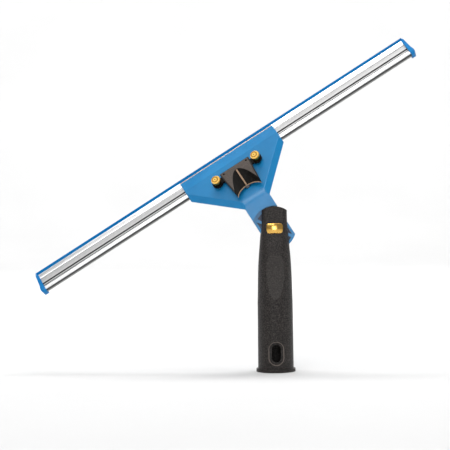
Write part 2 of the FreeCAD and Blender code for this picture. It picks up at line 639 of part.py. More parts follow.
def side_band(name, sign):
    """The block that bevels the face beside one of its slanting side edges."""
    box = doc.addObject("Part::Box", f"{name}_band")
    box.setExpression("Length", formula("2 * cutter_half"))
    box.setExpression("Width", formula("cutter_half"))
    box.setExpression("Height", formula("cutter_half"))
    down = value("(edge_height - side_end_height + face_height * sin(tilt * 1deg)) / cos(tilt * 1deg)")
    fall = value("(side_end_height - neck_start_height) / cos(tilt * 1deg)")
    edge_angle = math.degrees(math.atan2(fall, value("head_half_width - neck_half_width")))
    bevel = math.degrees(math.atan2(value("band_drop"), value("band_width")))
    face = shift(0, "edge_back", "edge_height") * turn((1, 0, 0), "-tilt")
    corner = shift(f"{sign} * head_half_width", "-face_height", -down) * turn((0, 1, 0), -sign * edge_angle)
    box.Placement = (face * corner * shift(0, 0, "band_width") * turn((1, 0, 0), bevel)
                     * shift("-cutter_half", "-cutter_half", "-cutter_half"))
    return box


def creases(shape):
    """The numbers of the straight edges between the tilted face and the bands at its sides."""
    slope = FreeCAD.Vector(0, -value("cos(tilt * 1deg)"), value("sin(tilt * 1deg)"))
    found = []
    for number, edge in enumerate(shape.Edges, start=1):
        sides = shape.ancestorsOfType(edge, Part.Face)
        flat = all(side.Surface.TypeId == "Part::GeomPlane" for side in sides)
        if edge.Length < value("band_width") or not flat:
            continue
        low, high = sorted(side.normalAt(0, 0).dot(slope) for side in sides)
        along = edge.tangentAt(edge.FirstParameter)
        if high > 0.999 and 0.5 < low < 0.95 and abs(along.x) > 0.3:
            found.append(number)
    return found


def around(radius, angle, up, sign):
    """A point about the pivot, by its angle from straight up or straight down."""
    return (f"{sign} * ({radius}) * sin(({angle}) * 1deg)", f"{up} * ({radius}) * cos(({angle}) * 1deg)")


def side_cell(sketch, sign, up):
    """A moulding pocket between the tongue's edge, its boss and a rib."""
    gap = "cell_rib_angle + 5"
    polygon(sketch, (
        around("cell_inner + 0.3", gap, up, sign),
        (f"{sign} * cell_half_width", f"{up} * cell_half_width / tan(({gap}) * 1deg)"),
        (f"{sign} * cell_half_width", f"{up} * 4.8"),
        around("cell_inner + 0.3", "(cell_rib_angle + 65) / 2", up, sign)))


def middle_cell(sketch, sign, up):
    """A moulding pocket beside the tongue's middle rib."""
    gap = "cell_rib_angle - 5"
    polygon(sketch, (
        (f"{sign} * cell_rib / 2", f"{up} * (cell_inner + 0.1)"),
        (f"{sign} * cell_rib / 2", f"{up} * cell_outer"),
        around("cell_outer", f"({gap}) / 2", up, sign),
        around("cell_outer", gap, up, sign),
        around("cell_inner + 0.3", gap, up, sign),
        around("cell_inner + 0.2", f"({gap}) / 2", up, sign)))


# ---- channel and blade --------------------------------------------------------------------------

def make_channel():
    """Extruded aluminium: a slit for the blade's bead, a grooved web and a hollow bulb."""
    body = new_body("channel_extrusion")
    length = "blade_length"
    crown = new_sketch(body, "channel_crown", "YZ_Plane")
    circle(crown, 0, "-crown_centre", "channel_crown")
    pad(body, crown, length, both_ways=True)
    lips = new_sketch(body, "channel_lips", "YZ_Plane")
    polygon(lips, (
        ("-channel_lip + 0.3", "-channel_top"), ("channel_lip - 0.3", "-channel_top"),
        ("channel_lip", "-channel_top - 0.3"), ("channel_crown - 0.5", "-crown_centre + 1.2"),
        ("0.5 - channel_crown", "-crown_centre + 1.2"), ("-channel_lip", "-channel_top - 0.3")))
    pad(body, lips, length, both_ways=True)
    web = new_sketch(body, "channel_web", "YZ_Plane")
    polygon(web, (
        ("-channel_flat", "-crown_centre"), ("channel_flat", "-crown_centre"),
        ("channel_flat", "-groove_top"), ("groove_half", "-groove_top"),
        ("groove_half", "-bulb_centre"), ("-groove_half", "-bulb_centre"),
        ("-groove_half", "-groove_top"), ("-channel_flat", "-groove_top")))
    pad(body, web, length, both_ways=True)
    bulb = new_sketch(body, "channel_bulb", "YZ_Plane")
    circle(bulb, 0, "-bulb_centre", "bulb_radius")
    pad(body, bulb, length, both_ways=True)
    bead = new_sketch(body, "bead_bore", "YZ_Plane")
    circle(bead, 0, "-bead_centre", "bead_radius + 0.05")
    circle(bead, 0, "-bulb_centre", "bulb_bore")
    pocket(body, bead)
    slit = new_sketch(body, "blade_slit", "YZ_Plane")
    polygon(slit, (("-slit_half", 0), ("slit_half", 0), ("slit_half", "-bead_centre"),
                   ("-slit_half", "-bead_centre")))
    pocket(body, slit)
    return keep(body, "blade_channel", JAW * shift("-channel_offset", 0, 0))


def make_blade():
    """Rubber strip with a square wiping edge and a round bead along its back."""
    body = new_body("blade_rubber")
    bead = new_sketch(body, "blade_bead", "YZ_Plane")
    circle(bead, 0, "-bead_centre", "bead_radius")
    pad(body, bead, "blade_length", both_ways=True)
    strip = new_sketch(body, "blade_strip", "YZ_Plane")
    polygon(strip, (("-blade_half", 0), ("blade_half", 0), ("blade_half", "-bead_centre"),
                    ("-blade_half", "-bead_centre")))
    pad(body, strip, "blade_length", both_ways=True)
    return keep(body, "rubber_blade", JAW * shift("-channel_offset", 0, 0))


def make_end_cap(name, sign):
    """Moulded cap: a shallow cup over one end of the channel, with a peg in the bulb's bore."""
    body = new_body(f"{name}_moulding")
    view = new_sketch(body, f"{name}_view", "XZ_Plane")
    polygon(view, (
        (0, 0), (f"{sign} * cap_top_length * 0.4", 0), (f"{sign} * cap_top_length", -4),
        (f"{sign} * cap_length * 0.62", -10.5), (f"{sign} * cap_length * 0.78", -14.5),
        (f"{sign} * (cap_length + 0.2)", -17.2), (f"{sign} * cap_length", "cap_bevel - cap_bottom"),
        (f"{sign} * (cap_length - cap_bevel)", "-cap_bottom"), (f"-{sign} * cap_cover", "-cap_bottom"),
        (f"-{sign} * cap_cover", "-channel_top - 1"), (0, "-channel_top - 1")))
    pad(body, view, "2 * cap_half", both_ways=True)
    taper = new_sketch(body, f"{name}_taper", "YZ_Plane")
    for flip in ("", "-"):
        polygon(taper, ((f"{flip}1.1", 0), (f"{flip}(cap_half + 1)", 0), (f"{flip}(cap_half + 1)", -4.5),
                        (f"{flip}cap_half", -4.5)))
    pocket(body, taper)
    corners = [f"Edge{i}" for i, edge in enumerate(body.Shape.Edges, start=1)
               if abs(edge.Vertexes[0].Z - edge.Vertexes[-1].Z) < 0.01
               and abs(edge.Vertexes[0].Z + value("cap_bottom")) < 0.01
               and abs(edge.Vertexes[0].Y - edge.Vertexes[-1].Y) < 0.01]
    soften(body, "Fillet", f"{name}_round", corners, "cap_round")
    cup = new_sketch(body, f"{name}_cup", "YZ_Plane")
    floor, knee = "-cap_floor", "-bulb_centre - 0.5"
    polygon(cup, (("cup_half", 1), ("-cup_half", 1), ("-cup_half", knee), ("-bulb_bore", floor),
                  ("bulb_bore", floor), ("cup_half", knee)))
    pocket(body, cup, "cap_cover", reverse=sign < 0)
    peg = new_sketch(body, f"{name}_peg", "YZ_Plane")
    circle(peg, 0, "-bulb_centre", "bulb_bore - 0.05")
    pad(body, peg, "peg_length", reverse=sign > 0)
    end = f"{sign} * blade_length / 2 - channel_offset"
    return keep(body, name, JAW * shift(end, 0, 0))


# ---- channel release ----------------------------------------------------------------------------

def make_release_pin(name, sign):
    """Turned brass pin: a thumb disc, a neck that the lever's ear holds, and a foot in the plate."""
    body = new_body(f"{name}_brass")
    side = new_sketch(body, f"{name}_side", "XY_Plane")
    polygon(side, (
        (0, "-pin_top"), ("pin_disc_radius", "-pin_top"),
        ("pin_disc_radius", "-pin_top + pin_disc_thickness"),
        ("pin_collar", "-pin_top + pin_disc_thickness"), ("pin_collar", "-neck_high"),
        ("pin_neck", "-neck_high"), ("pin_neck", "-neck_low"), ("pin_collar", "-neck_low"),
        ("pin_collar", "-flange_low"), ("pin_neck", "-flange_low"), ("pin_neck", "-plate_high"),
        ("pin_foot", "-plate_high"), ("pin_foot", "-clip_low - clip_thickness"),
        ("clip_groove", "-clip_low - clip_thickness"), ("clip_groove", "-clip_low"),
        ("pin_foot", "-clip_low"), ("pin_foot", "-pin_end"), (0, "-pin_end")))
    revolve(body, side)
    return keep(body, name, JAW * shift(f"{sign} * pin_side", 0, "-pin_down"))


def make_clamp_plate():
    """Steel plate riding on the two pins; its toe sits in the channel's groove."""
    body = new_body("plate_steel")
    side = new_sketch(body, "plate_side", "YZ_Plane")
    polygon(side, (
        ("-plate_high", "-plate_top"), ("-toe_reach", "-plate_top"), ("-toe_reach", "-toe_bottom"),
        ("-plate_low", "-toe_bottom"), ("-plate_low", "-plate_bottom"), ("-plate_high", "-plate_bottom")))
    pad(body, side, "2 * plate_half_width", both_ways=True)
    holes = new_sketch(body, "plate_holes", "XZ_Plane")
    for sign in ("", "-"):
        circle(holes, f"{sign}pin_side", "-pin_down", "pin_foot")
    pocket(body, holes)
    return keep(body, "clamp_plate", JAW)


def make_pin_clips():
    """Two retaining rings under the clamp plate, one in each pin's groove."""
    clips = []
    for name, sign in (("left", -1), ("right", 1)):
        outer = doc.addObject("Part::Cylinder", f"{name}_clip_disc")
        outer.setExpression("Radius", formula("clip_radius"))
        outer.setExpression("Height", formula("clip_thickness"))
        inner = doc.addObject("Part::Cylinder", f"{name}_clip_hole")
        inner.setExpression("Radius", formula("clip_groove"))
        inner.setExpression("Height", formula("clip_thickness"))
        mouth = doc.addObject("Part::Box", f"{name}_clip_mouth")
        mouth.setExpression("Length", formula("clip_groove * 1.5"))
        mouth.setExpression("Width", formula("clip_radius"))
        mouth.setExpression("Height", formula("clip_thickness"))
        mouth.Placement = shift("-clip_groove * 0.75", "-clip_radius", 0)
        gone = doc.addObject("Part::MultiFuse", f"{name}_clip_gap")
        gone.Shapes = [inner, mouth]
        clip = doc.addObject("Part::Cut", f"{name}_clip")
        clip.Base = outer
        clip.Tool = gone
        clip.Placement = shift(f"{sign} * pin_side", "-clip_low", "-pin_down") * turn((1, 0, 0), 90)
        clips.append(clip)
    pair = doc.addObject("Part::Compound", "clip_pair")
    pair.Links = clips
    return keep(pair, "pin_clips", JAW)


def make_lever():
    """Black rocker: a scooped thumb pad, two ears round the pins and a pivot bore across it."""
    body = new_body("lever_moulding")
    side = new_sketch(body, "lever_side", "YZ_Plane")
    polygon(side, (
        ("-lever_top", "lever_upper"), ("-lever_top", "-lever_lower"), ("1.2 - lever_top", "-lever_lower"),
        ("lever_keel", -4.5), ("lever_keel", 4.5), ("lever_keel - 1", "lever_upper")))
    pad(body, side, "2 * lever_upper_half", both_ways=True)
    plan = new_sketch(body, "lever_plan", "XZ_Plane")
    for sign in ("", "-"):
        polygon(plan, (
            (f"{sign}lever_upper_half", "lever_upper"), (f"{sign}(lever_upper_half + 3)", "lever_upper"),
            (f"{sign}(lever_upper_half + 3)", "-lever_lower - 3"),
            (f"{sign}(lever_lower_half - 0.25)", "-lever_lower - 3"),
            (f"{sign}lever_lower_half", "-lever_lower")))
    pocket(body, plan)
    top_corners = edges_where(body.Shape, lambda p: abs(abs(p.x) - value("lever_upper_half")) < 0.01
                              and abs(p.z - value("lever_upper")) < 0.01)
    soften(body, "Fillet", "lever_corner_round", top_corners, "lever_corner")
    notch = new_sketch(body, "lever_notch_round", "XZ_Plane")
    rise = "(lever_lower - lever_notch)"
    radius = f"((lever_lower_half * lever_lower_half + {rise} * {rise}) / (2 * {rise}))"
    circle(notch, 0, f"-lever_notch - {radius}", radius)
    pocket(body, notch)
    ears = new_sketch(body, "lever_ears", "XZ_Plane", "ear_level")
    ear_arm = "(lever_down - pin_down)"
    for sign in ("", "-"):
        circle(ears, f"{sign}pin_side", ear_arm, "ear_radius")
    pad(body, ears, "ear_thickness")
    arms = new_sketch(body, "lever_arms", "XZ_Plane", "ear_level")
    polygon(arms, (("-pin_side", f"{ear_arm} - 2.6"), ("pin_side", f"{ear_arm} - 2.6"),
                   ("pin_side", f"{ear_arm} + 2.6"), ("-pin_side", f"{ear_arm} + 2.6")))
    pad(body, arms, "ear_thickness")
    holes = new_sketch(body, "ear_holes", "XZ_Plane")
    for sign in ("", "-"):
        circle(holes, f"{sign}pin_side", ear_arm, "ear_hole")
    pocket(body, holes)
    lugs = new_sketch(body, "lug_slots", "XZ_Plane", "lug_radius + 0.3")
    for sign in ("", "-"):
        polygon(lugs, ((f"{sign}(lug_inner - 0.25)", -3.2), (f"{sign}(lug_outer + 0.25)", -3.2),
                       (f"{sign}(lug_outer + 0.25)", 3.2), (f"{sign}(lug_inner - 0.25)", 3.2)))
    pocket(body, lugs, "8")
    bore = new_sketch(body, "lever_bore", "YZ_Plane")
    circle(bore, 0, 0, "lever_pin_radius + running_gap")
    pocket(body, bore, "2 * lever_pin_half + 0.2", both_ways=True)
    well = new_sketch(body, "spring_well", "XZ_Plane", "0.1")
    circle(well, 0, "lever_down - lever_spring_down", "lever_spring_radius + 0.8")
    pocket(body, well, "5")
    dimples = new_sketch(body, "lever_dimples", "XZ_Plane", "lever_top - 0.4")
    for sign in ("", "-"):
        circle(dimples, f"{sign}(lever_upper_half - 3.2)", "lever_upper - 2.8", "dimple_radius")
    pocket(body, dimples, "2", reverse=True)

    scoop = doc.addObject("Part::Cylinder", "lever_scoop")
    scoop.setExpression("Radius", formula("scoop_radius"))
    scoop.setExpression("Height", formula("2 * scoop_radius"))
    dive = math.degrees(math.atan2(value("scoop_depth"), value("lever_notch + scoop_start")))
    floor = shift(0, "-lever_top", "scoop_start") * turn((1, 0, 0), dive)
    scoop.Placement = floor * shift(0, "-scoop_radius", "1 - 2 * scoop_radius")
    scooped = doc.addObject("Part::Cut", "scooped_lever")
    scooped.Base = body
    scooped.Tool = scoop
    bar = doc.addObject("Part::Box", "lever_spine_bar")
    bar.setExpression("Length", formula("spine_width"))
    bar.setExpression("Width", formula("spine_proud + 0.8"))
    bar.setExpression("Height", formula("spine_length"))
    bar.Placement = floor * shift("-spine_width / 2", "-spine_proud", "-scoop_start - lever_notch + 0.4")
    above = doc.addObject("Part::Box", "lever_spine_trim")
    above.setExpression("Length", formula("2 * spine_width"))
    above.setExpression("Width", formula("spine_width + spine_sunk"))
    above.setExpression("Height", formula("2 * spine_length"))
    above.Placement = shift("-spine_width", "-lever_top - spine_width", "-spine_length")
    spine = doc.addObject("Part::Cut", "lever_spine")
    spine.Base = bar
    spine.Tool = above
    lever = doc.addObject("Part::MultiFuse", "lever_with_spine")
    lever.Shapes = [scooped, spine]
    return keep(lever, "release_lever", LEVER)


def make_lever_pin():
    pin = doc.addObject("Part::Cylinder", "lever_pin_steel")
    pin.setExpression("Radius", formula("lever_pin_radius"))
    pin.setExpression("Height", formula("2 * lever_pin_half"))
    place = JAW * shift("-lever_pin_half", "-lever_height", "-lever_down") * turn((0, 1, 0), 90)
    return keep(pin, "lever_pivot_pin", place)


make_handle()
make_swivel_cap()
make_cap_screws()
make_lock_button()
coil("lock_spring", PIVOT * shift(0, "-spring_seat", 0) * turn((1, 0, 0), -90),
     "lock_spring_radius - lock_spring_wire / 2", "lock_spring_wire", "lock_spring_pitch",
     "spring_floor + spring_seat")
ring("front_washer", PIVOT, "washer_inner", "washer_outer", "-fork_half_gap + 0.05", "washer_thickness")
ring("rear_washer", PIVOT, "washer_inner", "washer_outer", "fork_half_gap - washer_thickness - 0.05",
     "washer_thickness")
make_head()
make_bushing()
make_lever_pin()
coil("lever_spring", JAW * shift(0, "-lever_spring_low", "-lever_spring_down") * turn((1, 0, 0), 90),
     "lever_spring_radius - lever_spring_wire / 2", "lever_spring_wire", "1.3", "lever_spring_length")
make_lever()
make_release_pin("left_release_pin", -1)
make_release_pin("right_release_pin", 1)
make_clamp_plate()
make_pin_clips()
make_channel()
make_blade()
make_end_cap("left_end_cap", -1)
make_end_cap("right_end_cap", 1)
doc.recompute()

for item in doc.Objects:
    if "Invalid" in item.State or "Error" in item.State:
        raise RuntimeError(f"{item.Label} failed: {item.State}")
for piece in PARTS:
    if piece.Shape.isNull() or not piece.Shape.isValid():
        raise RuntimeError(f"{piece.Label} has no valid shape")

os.makedirs("parts", exist_ok=True)
for piece in PARTS:
    piece.Shape.exportStep(f"parts/{piece.Label}.step")
    print(f"{piece.Label}: {len(piece.Shape.Solids)} solid, {piece.Shape.Volume / 1000:.2f} cm3")
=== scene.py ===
import json
import math

import bpy
from mathutils import Matrix, Vector

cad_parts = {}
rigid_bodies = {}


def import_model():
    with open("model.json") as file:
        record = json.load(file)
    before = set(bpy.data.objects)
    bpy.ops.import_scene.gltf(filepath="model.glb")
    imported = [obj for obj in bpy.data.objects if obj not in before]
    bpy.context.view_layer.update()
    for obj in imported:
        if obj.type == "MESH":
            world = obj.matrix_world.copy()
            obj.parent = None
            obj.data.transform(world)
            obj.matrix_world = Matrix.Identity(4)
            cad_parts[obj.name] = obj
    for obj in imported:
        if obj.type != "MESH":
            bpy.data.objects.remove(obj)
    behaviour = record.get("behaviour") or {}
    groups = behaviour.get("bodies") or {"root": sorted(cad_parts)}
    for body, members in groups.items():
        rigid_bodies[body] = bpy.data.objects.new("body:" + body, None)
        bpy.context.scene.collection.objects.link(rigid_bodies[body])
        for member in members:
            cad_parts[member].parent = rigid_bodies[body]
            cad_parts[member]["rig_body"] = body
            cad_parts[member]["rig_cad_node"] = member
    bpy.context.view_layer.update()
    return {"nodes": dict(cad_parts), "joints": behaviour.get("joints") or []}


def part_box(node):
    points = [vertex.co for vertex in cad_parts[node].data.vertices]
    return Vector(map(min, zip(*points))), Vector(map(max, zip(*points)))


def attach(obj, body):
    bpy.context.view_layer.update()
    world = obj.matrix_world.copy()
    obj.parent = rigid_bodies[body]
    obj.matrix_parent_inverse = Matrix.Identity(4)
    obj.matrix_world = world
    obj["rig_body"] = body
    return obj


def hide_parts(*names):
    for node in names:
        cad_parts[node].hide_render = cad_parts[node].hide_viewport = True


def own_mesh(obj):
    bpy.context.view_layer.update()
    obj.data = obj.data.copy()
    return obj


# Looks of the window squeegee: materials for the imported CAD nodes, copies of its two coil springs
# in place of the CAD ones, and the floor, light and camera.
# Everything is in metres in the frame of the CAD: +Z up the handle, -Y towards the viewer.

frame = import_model()
nodes = frame["nodes"]

# three directions of the head as packed: along the channel, out of the face and up its slope
joints = {joint["name"]: joint for joint in frame["joints"]}
ALONG = Vector(joints["channel_slide"]["axis"]).normalized()
OUT = Vector(joints["pin_lift"]["axis"]).normalized()
UP_SLOPE = OUT.cross(ALONG)
PIVOT = Vector(joints["head_swivel"]["pos_m"])
JAW_AXES = (ALONG, -OUT, UP_SLOPE)
HANDLE_AXES = (Vector((1, 0, 0)), Vector((0, 1, 0)), Vector((0, 0, 1)))


def middle(name):
    """The middle of a node's box."""
    low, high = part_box(name)
    return (low + high) / 2


def reach(name, direction):
    """How far a node goes in a direction, as a level along it."""
    return max(direction.dot(vertex.co) for vertex in nodes[name].data.vertices)


# the blade's wiping edge, from which places on the slope are counted down
EDGE = UP_SLOPE * reach("rubber_blade", UP_SLOPE)

# the lever leans back a few degrees more than the head's face; LEVER_TOP is in front of its pin,
# level with its outermost surface
LEVER_REST = math.radians(6)
LEVER_OUT = math.cos(LEVER_REST) * OUT + math.sin(LEVER_REST) * UP_SLOPE
LEVER_AXES = (ALONG, -LEVER_OUT, LEVER_OUT.cross(ALONG))
LEVER_PIN = middle("lever_pivot_pin")
LEVER_TOP = LEVER_PIN + LEVER_OUT * (reach("release_lever", LEVER_OUT) - LEVER_OUT.dot(LEVER_PIN))

# the lever's outline about its pin: it narrows downwards and ends in a round notch
LEVER_HALF_WIDTH = 0.01248
LEVER_WIDENING = 0.0906
LEVER_UPPER = 0.0135
BORDER_WIDTH = 0.0011
NOTCH_RADIUS = 0.01188
NOTCH_BELOW = 0.02078
RIDGE_TOP = 0.0085
RIDGE_WIDTH = 0.0013
NOTCH_RIM = 0.0003

# one colour on a CAD surface gives way to the next over this distance
SOFT_EDGE = 0.0002

# the round cutter that hollows the front of the grip for a thumb
THUMB_RADIUS = 0.1152
THUMB_AXIS = (0, -0.1274, 0.0794)

# the rounded rim around the pole lock's slot, drawn as a pale line of painted highlight on the front of
# the handle
SLOT_HEIGHT = 0.0151
SLOT_STRAIGHT = 0.0033
RIM_RADIUS = 0.0059
RIM_LINE = 0.0004

# the hollow cells of the head's tongue, where shade is painted, lie within this radius of the pivot,
# below its two faces
CELLS_RADIUS = 0.0160
TONGUE_FACE = 0.0055

# the head's face is this wide to each side, and its lip this far down the slope from the edge
FACE_HALF_WIDTH = 0.0444
JAW_LIP = 0.0071

# colours, as linear red, green, blue
HANDLE_BLACK = (0.008, 0.007, 0.0065)
HANDLE_GREY = (0.062, 0.053, 0.049)
HANDLE_RIM_HIGHLIGHT = (0.150, 0.125, 0.110)
HANDLE_HOLLOW_HIGHLIGHT = (0.050, 0.045, 0.042)
COVER_BLACK = (0.020, 0.018, 0.017)
COVER_GREY = (0.040, 0.036, 0.034)
LEVER_SHADE_BLACK = (0.006, 0.005, 0.0045)
LEVER_SATIN = (0.052, 0.040, 0.034)
LEVER_PALE = (0.085, 0.068, 0.058)
LEVER_HIGHLIGHT = (0.30, 0.20, 0.13)
HEAD_BLUE = (0.001, 0.165, 0.390)
HEAD_PALE = (0.003, 0.192, 0.440)
CELL_SHADE_BLUE = (0.001, 0.035, 0.110)
BLADE_BLUE = (0.001, 0.120, 0.340)
BLADE_PALE = (0.002, 0.145, 0.390)
CAP_BLUE = (0.002, 0.150, 0.420)
CAP_PALE = (0.006, 0.190, 0.480)
ALUMINIUM = (0.86, 0.86, 0.86)
ALUMINIUM_DULL = (0.70, 0.70, 0.70)
JAW_SHADE = (0.34, 0.28, 0.25)
BRASS = (0.95, 0.62, 0.17)
BRASS_DULL = (0.62, 0.30, 0.05)
ZINC = (0.66, 0.66, 0.64)
ZINC_DULL = (0.45, 0.45, 0.44)
SPRING = (0.42, 0.42, 0.43)
SPRING_DULL = (0.24, 0.24, 0.25)
NYLON = (0.78, 0.76, 0.68)
NYLON_DULL = (0.66, 0.63, 0.54)
PAPER = (0.61, 0.61, 0.61)
PAPER_PALE = (0.63, 0.63, 0.63)


# ---- material nodes -----------------------------------------------------------------------------

class Look:
    """A procedural material: a surface shader and the texture nodes that feed it."""

    def __init__(self, name, **numbers):
        self.material = bpy.data.materials.new(name)
        self.material.use_nodes = True
        self.tree = self.material.node_tree
        self.shader = self.tree.nodes["Principled BSDF"]
        for socket, number in numbers.items():
            self.shader.inputs[socket.replace("_", " ")].default_value = number
        self.place = self.node("ShaderNodeTexCoord").outputs["Object"]

    def node(self, kind, **settings):
        made = self.tree.nodes.new(kind)
        for name, setting in settings.items():
            setattr(made, name, setting)
        return made

    def link(self, source, target):
        self.tree.links.new(source, target)

    def turned(self, axes, centre=(0, 0, 0), stretch=(1, 1, 1)):
        """Coordinates along three given axes, from a centre, stretched along each."""
        turn = Matrix([list(axis) for axis in axes]).to_euler("XYZ")
        moved = self.node("ShaderNodeMapping", vector_type="POINT")
        self.link(self.place, moved.inputs["Vector"])
        moved.inputs["Location"].default_value = -(turn.to_matrix() @ Vector(centre))
        moved.inputs["Rotation"].default_value = turn
        scaled = self.node("ShaderNodeMapping", vector_type="POINT")
        self.link(moved.outputs["Vector"], scaled.inputs["Vector"])
        scaled.inputs["Scale"].default_value = stretch
        return scaled.outputs["Vector"]

    def noise(self, size, detail=2.0, rough=0.5, place=None):
        """Noise whose features are about `size` metres across."""
        made = self.node("ShaderNodeTexNoise")
        made.inputs["Scale"].default_value = 1 / size
        made.inputs["Detail"].default_value = detail
        made.inputs["Roughness"].default_value = rough
        self.link(place or self.place, made.inputs["Vector"])
        return made.outputs["Fac"]

    def cells(self, size):
        """Round grains about `size` metres apart."""
        made = self.node("ShaderNodeTexVoronoi")
        made.inputs["Scale"].default_value = 1 / size
        self.link(self.place, made.inputs["Vector"])
        return made.outputs["Distance"]

    def rings(self, spacing, place):
        """Fine turning marks around the second axis of `place`."""
        made = self.node("ShaderNodeTexWave", wave_type="RINGS", rings_direction="Y")
        made.inputs["Scale"].default_value = 0.5 / spacing / math.pi
        made.inputs["Distortion"].default_value = 0.6
        made.inputs["Detail"].default_value = 1.0
        self.link(place, made.inputs["Vector"])
        return made.outputs["Fac"]

    def between(self, fac, low, high, from_low=0.3, from_high=0.7):
        """A number from `low` to `high`, as `fac` goes from `from_low` to `from_high`."""
        made = self.node("ShaderNodeMapRange")
        made.inputs["From Min"].default_value = from_low
        made.inputs["From Max"].default_value = from_high
        made.inputs["To Min"].default_value = low
        made.inputs["To Max"].default_value = high
        self.link(fac, made.inputs["Value"])
        return made.outputs["Result"]

    def colour(self, fac, first, second, low=0.35, high=0.65):
        """The base colour, from `first` to `second` as `fac` goes from `low` to `high`."""
        ramp = self.node("ShaderNodeValToRGB")
        ramp.color_ramp.elements[0].position = low
        ramp.color_ramp.elements[0].color = (*first, 1)
        ramp.color_ramp.elements[1].position = high
        ramp.color_ramp.elements[1].color = (*second, 1)
        self.link(fac, ramp.inputs["Fac"])
        self.link(ramp.outputs["Color"], self.shader.inputs["Base Color"])
        return ramp.outputs["Color"]

    def part_of(self, place, axis):
        """One of the three coordinates of a place: 0, 1 or 2."""
        made = self.node("ShaderNodeSeparateXYZ")
        self.link(place, made.inputs["Vector"])
        return made.outputs[axis]

    def reckon(self, operation, *numbers):
        """The result of one sum on sockets or plain numbers."""
        made = self.node("ShaderNodeMath", operation=operation)
        for socket, number in zip(made.inputs, numbers):
            if isinstance(number, (int, float)):
                socket.default_value = number
            else:
                self.link(number, socket)
        return made.outputs[0]

    def length(self, place):
        """How far a place is from the centre of its coordinates."""
        made = self.node("ShaderNodeVectorMath", operation="LENGTH")
        self.link(place, made.inputs[0])
        return made.outputs["Value"]

    def shades(self, fac, depth, stops, soft=0.00022):
        """A grey that follows -`fac` through (end, shade) stretches, with soft steps between them."""
        ramp = self.node("ShaderNodeValToRGB")
        marks = ramp.color_ramp.elements
        marks[0].color = (*[stops[0][1]] * 3, 1)
        marks[1].position = 1.0
        marks[1].color = (*[stops[-1][1]] * 3, 1)
        for (end, shade), (_, following) in zip(stops, stops[1:]):
            for place, grey in ((end - soft / 2, shade), (end + soft / 2, following)):
                marks.new(place / depth).color = (*[grey] * 3, 1)
        self.link(self.between(fac, 0, 1, 0, -depth), ramp.inputs["Fac"])
        return ramp.outputs["Color"]

    def mixed(self, first, second, fac=1.0, blend="MULTIPLY"):
        """The base colour: `first` blended with `second` as far as `fac` says."""
        made = self.node("ShaderNodeMix", data_type="RGBA", blend_type=blend)
        for target, source in (("Factor_Float", fac), ("A_Color", first), ("B_Color", second)):
            socket = [item for item in made.inputs if item.identifier == target][0]
            if isinstance(source, (int, float)):
                socket.default_value = source
            elif isinstance(source, tuple):
                socket.default_value = (*source, 1)
            else:
                self.link(source, socket)
        output = [item for item in made.outputs if item.identifier == "Result_Color"][0]
        self.link(output, self.shader.inputs["Base Color"])
        return output

    def roughness(self, fac, low, high):
        self.link(self.between(fac, low, high), self.shader.inputs["Roughness"])

    def bump(self, height, depth, strength=1.0, before=None):
        """Relief of `depth` metres; several are chained by `before`."""
        made = self.node("ShaderNodeBump")
        made.inputs["Distance"].default_value = depth
        made.inputs["Strength"].default_value = strength
        self.link(height, made.inputs["Height"])
        if before:
            self.link(before, made.inputs["Normal"])
        self.link(made.outputs["Normal"], self.shader.inputs["Normal"])
        return made.outputs["Normal"]


def moulded(name, first, second, roughness, grain, depth, shine=0.4):
    """Moulded plastic: slow colour drift, even fine grain, and patches a little shinier."""
    look = Look(name, IOR=1.5, Specular_IOR_Level=shine)
    look.colour(look.noise(0.018, 3), first, second)
    look.roughness(look.noise(0.006, 3), roughness - 0.05, roughness + 0.05)
    orange_peel = look.bump(look.noise(0.004, 1), depth * 2)
    look.bump(look.noise(grain, 2, 0.6), depth, before=orange_peel)
    return look.material


def head_plastic():
    """Blue moulded plastic, with painted shade in the hollow cells of the swivel tongue."""
    look = Look("head_moulding", IOR=1.5, Specular_IOR_Level=0.5)
    blue = look.colour(look.noise(0.018, 3), HEAD_BLUE, HEAD_PALE)
    flat = look.turned(HANDLE_AXES, PIVOT, (1, 0, 1))
    near = look.between(look.length(flat), 1, 0, CELLS_RADIUS - 2 * SOFT_EDGE, CELLS_RADIUS)
    level = look.reckon("ABSOLUTE", look.part_of(look.place, 1))
    sunk = look.between(level, 1, 0, TONGUE_FACE - 3 * SOFT_EDGE, TONGUE_FACE - SOFT_EDGE)
    # painted shade: the cells near the pivot, sunk below the tongue's faces, are coloured a darker blue
    look.mixed(blue, CELL_SHADE_BLUE, look.reckon("MULTIPLY", near, sunk), "MIX")
    look.roughness(look.noise(0.012, 1), 0.28, 0.33)
    look.bump(look.noise(0.005, 0), 0.000004, 0.5)
    return look.material


